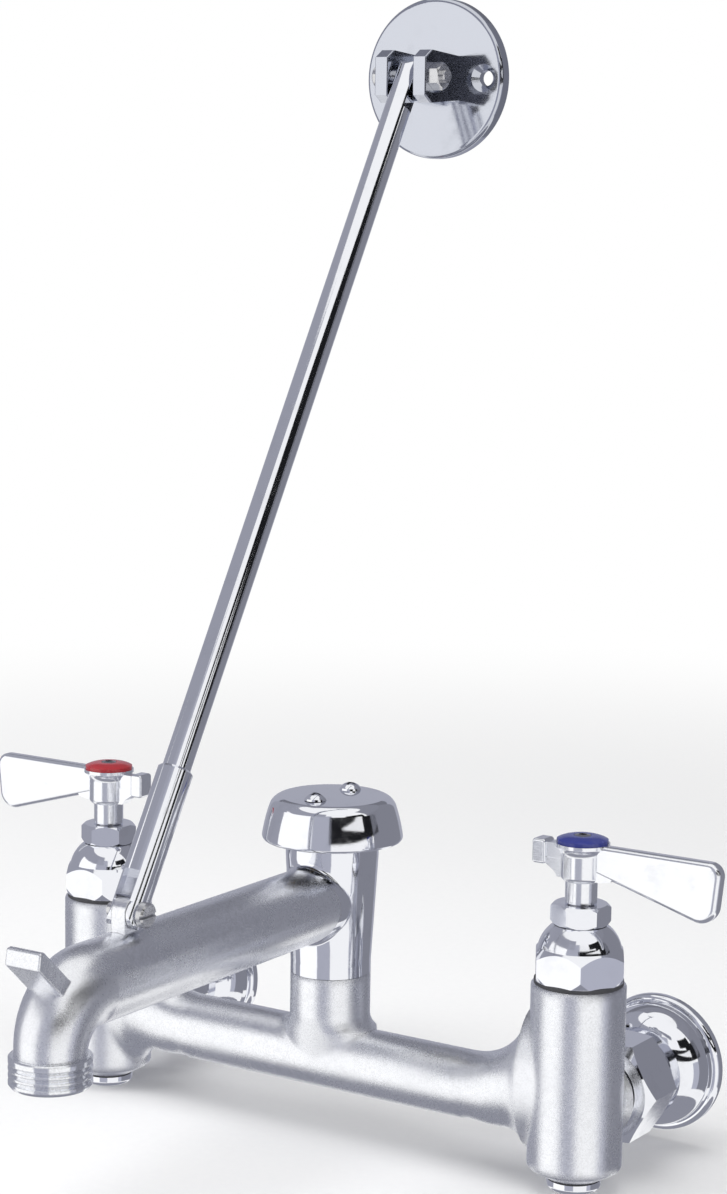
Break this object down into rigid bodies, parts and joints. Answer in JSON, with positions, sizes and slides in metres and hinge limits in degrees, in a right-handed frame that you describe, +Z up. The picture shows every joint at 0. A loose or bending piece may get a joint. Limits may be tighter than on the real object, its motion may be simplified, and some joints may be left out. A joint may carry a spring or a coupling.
{
  "type": "wall faucet",
  "caption": "Commercial wall faucet for a service sink: lever valves, vacuum breaker, hose-thread spout with a pail hook, and a brace rod up to the wall.",
  "frame": {"origin": "midway between the two inlets, on the wall plane, at the height of the inlets' axes", "axes": "+Z up, +Y into the wall, +X to the right as seen from the front, where the cold valve is"},
  "size_m": [0.3086, 0.2376, 0.4087],
  "materials": {
    "satin_casting": "satin chrome plate over cast brass",
    "satin_spout": "satin chrome plate over cast brass",
    "polished_union": "polished chrome plate",
    "polished_bonnet": "polished chrome plate",
    "polished_gland": "polished chrome plate",
    "polished_lever": "polished chrome plate",
    "polished_plug": "polished chrome plate",
    "polished_breaker": "polished chrome plate",
    "polished_cap": "polished chrome plate",
    "polished_brace": "polished chrome plate",
    "polished_wall_flange": "polished chrome plate",
    "steel_fastener": "bright stainless steel",
    "steel_screw": "dull stainless steel",
    "steel_ring": "plain spring steel",
    "brass_inner": "turned brass",
    "rubber_seal": "black rubber",
    "packing": "graphite packing",
    "float_plastic": "moulded plastic",
    "red_index": "glossy red plastic",
    "blue_index": "glossy blue plastic"
  },
  "bodies": {
    "faucet": {"faucet_body": "satin_casting", "hot_inlet_flange": "polished_union", "hot_union_washer": "rubber_seal", "hot_retaining_ring": "steel_ring", "hot_coupling_nut": "polished_union", "hot_bottom_plug": "polished_plug", "hot_plug_seal": "rubber_seal", "hot_valve_seat": "brass_inner", "hot_bonnet_gasket": "rubber_seal", "hot_bonnet": "polished_bonnet", "hot_packing": "packing", "hot_packing_nut": "polished_gland", "cold_inlet_flange": "polished_union", "cold_union_washer": "rubber_seal", "cold_retaining_ring": "steel_ring", "cold_coupling_nut": "polished_union", "cold_bottom_plug": "polished_plug", "cold_plug_seal": "rubber_seal", "cold_valve_seat": "brass_inner", "cold_bonnet_gasket": "rubber_seal", "cold_bonnet": "polished_bonnet", "cold_packing": "packing", "cold_packing_nut": "polished_gland", "breaker_body": "polished_breaker", "breaker_seal": "rubber_seal", "breaker_air_seat": "brass_inner", "breaker_cap": "polished_cap", "breaker_cap_screws": "polished_cap", "spout": "satin_spout", "spout_seal": "rubber_seal"},
    "hot_washer": {"hot_seat_washer": "rubber_seal", "hot_washer_screw": "brass_inner", "hot_washer_holder": "brass_inner"},
    "hot_handle": {"hot_spindle": "brass_inner", "hot_lever": "polished_lever", "hot_index_ring": "red_index", "hot_handle_screw": "steel_screw"},
    "cold_washer": {"cold_seat_washer": "rubber_seal", "cold_washer_screw": "brass_inner", "cold_washer_holder": "brass_inner"},
    "cold_handle": {"cold_spindle": "brass_inner", "cold_lever": "polished_lever", "cold_index_ring": "blue_index", "cold_handle_screw": "steel_screw"},
    "float": {"breaker_float": "float_plastic", "float_seal": "rubber_seal"},
    "brace_lower": {"brace_sleeve": "polished_brace", "brace_lower_screw": "steel_fastener"},
    "brace_upper": {"brace_rod": "polished_brace"},
    "brace_flange": {"brace_wall_flange": "polished_wall_flange", "brace_upper_bolt": "steel_fastener", "brace_upper_nut": "steel_fastener"}
  },
  "joints": [
    {"name": "hot_stem_rise", "type": "slide", "parent": "faucet", "child": "hot_washer", "axis": [0, 0, 1], "range_m": [0, 0.0036]},
    {"name": "hot_lever_turn", "type": "hinge", "parent": "hot_washer", "child": "hot_handle", "pos_m": [-0.1016, -0.0645, 0.09], "axis": [0, 0, 1], "range_deg": [0, 180]},
    {"name": "cold_stem_rise", "type": "slide", "parent": "faucet", "child": "cold_washer", "axis": [0, 0, 1], "range_m": [0, 0.0036]},
    {"name": "cold_lever_turn", "type": "hinge", "parent": "cold_washer", "child": "cold_handle", "pos_m": [0.1016, -0.0645, 0.09], "axis": [0, 0, -1], "range_deg": [0, 180]},
    {"name": "float_lift", "type": "slide", "parent": "faucet", "child": "float", "axis": [0, 0, 1], "range_m": [0, 0.0048]},
    {"name": "brace_swing", "type": "hinge", "parent": "faucet", "child": "brace_lower", "pos_m": [0, -0.184, 0.0781], "axis": [1, 0, 0], "range_deg": [0, 60]},
    {"name": "brace_reach", "type": "slide", "parent": "brace_lower", "child": "brace_upper", "axis": [0, 0.5105, 0.8599], "range_m": [-0.01, 0.012]},
    {"name": "flange_tilt", "type": "hinge", "parent": "brace_upper", "child": "brace_flange", "pos_m": [0, -0.022, 0.351], "axis": [1, 0, 0], "range_deg": [-28, 60]}
  ],
  "couplings": [
    {"joint": "hot_lever_turn", "follows": "hot_stem_rise", "rad_per_m": 872.6},
    {"joint": "cold_lever_turn", "follows": "cold_stem_rise", "rad_per_m": 872.6}
  ]
}
